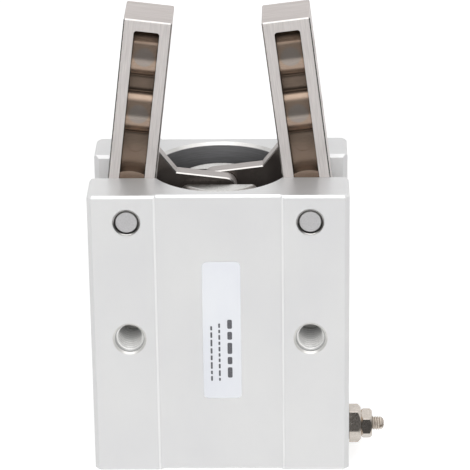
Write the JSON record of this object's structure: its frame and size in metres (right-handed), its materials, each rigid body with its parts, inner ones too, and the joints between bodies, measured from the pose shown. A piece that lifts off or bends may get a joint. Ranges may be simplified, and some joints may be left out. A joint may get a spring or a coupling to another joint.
{
  "type": "pneumatic gripper",
  "caption": "Angular air gripper: anodised block body with a round bore, a piston driving two swinging steel fingers, and a needle valve.",
  "frame": {"origin": "centre of the body's bottom face, midway between the two base bolt holes", "axes": "+Z along the bore towards the fingers, +X across the fingers towards the ports, -Y towards the labelled front"},
  "size_m": [0.0594, 0.0336, 0.0938],
  "materials": {
    "anodised_body": "clear anodised, satin",
    "pin_steel": "ground, oiled",
    "cover_aluminium": "machined",
    "seal_rubber": "moulded nitrile",
    "ring_steel": "phosphated spring steel",
    "plated_brass": "nickel plated",
    "washer_plastic": "moulded",
    "label_film": "blank polyester film",
    "magnet_plastic": "bonded magnet",
    "rod_chrome": "polished",
    "block_steel": "machined bright",
    "finger_steel": "ground outside, as cast in the pockets"
  },
  "bodies": {
    "housing": {"body": "anodised_body", "pivot_pin_left": "pin_steel", "pivot_pin_right": "pin_steel", "front_cover": "cover_aluminium", "front_cover_oring": "seal_rubber", "rod_seal": "seal_rubber", "front_cover_clip": "ring_steel", "upper_bumper": "seal_rubber", "end_cap": "cover_aluminium", "end_cap_oring": "seal_rubber", "end_cap_clip": "ring_steel", "lower_bumper": "seal_rubber", "needle_seat": "plated_brass", "needle_seat_washer": "washer_plastic", "needle_lock_nut": "plated_brass", "rating_label": "label_film"},
    "piston_assembly": {"piston": "cover_aluminium", "piston_seal": "seal_rubber", "piston_magnet": "magnet_plastic", "magnet_keeper": "cover_aluminium", "piston_screw": "pin_steel", "piston_rod": "rod_chrome", "joint_block": "block_steel", "joint_pin": "pin_steel"},
    "left_finger": {"left_finger": "finger_steel"},
    "right_finger": {"right_finger": "finger_steel"},
    "needle_carriage": {"needle_oring": "seal_rubber"},
    "needle_screw": {"needle_screw": "plated_brass"}
  },
  "joints": [
    {"name": "piston_slide", "type": "slide", "parent": "housing", "child": "piston_assembly", "axis": [0, 0, 1], "range_m": [-0.00103, 0.01268]},
    {"name": "left_finger_swing", "type": "hinge", "parent": "housing", "child": "left_finger", "pos_m": [-0.0182, 0, 0.0549], "axis": [0, -1, 0], "range_deg": [-3, 37]},
    {"name": "right_finger_swing", "type": "hinge", "parent": "housing", "child": "right_finger", "pos_m": [0.0182, 0, 0.0549], "axis": [0, 1, 0], "range_deg": [-3, 37]},
    {"name": "needle_travel", "type": "slide", "parent": "housing", "child": "needle_carriage", "axis": [1, 0, 0], "range_m": [-0.001, 0.0015]},
    {"name": "needle_turn", "type": "hinge", "parent": "needle_carriage", "child": "needle_screw", "pos_m": [0.03, -0.008, 0.0065], "axis": [1, 0, 0], "range_deg": [-721, 1081]}
  ],
  "couplings": [
    {"joint": "left_finger_swing", "follows": "piston_slide", "rad_per_m": 50.891},
    {"joint": "right_finger_swing", "follows": "piston_slide", "rad_per_m": 50.891},
    {"joint": "needle_turn", "follows": "needle_travel", "rad_per_m": 12566}
  ]
}
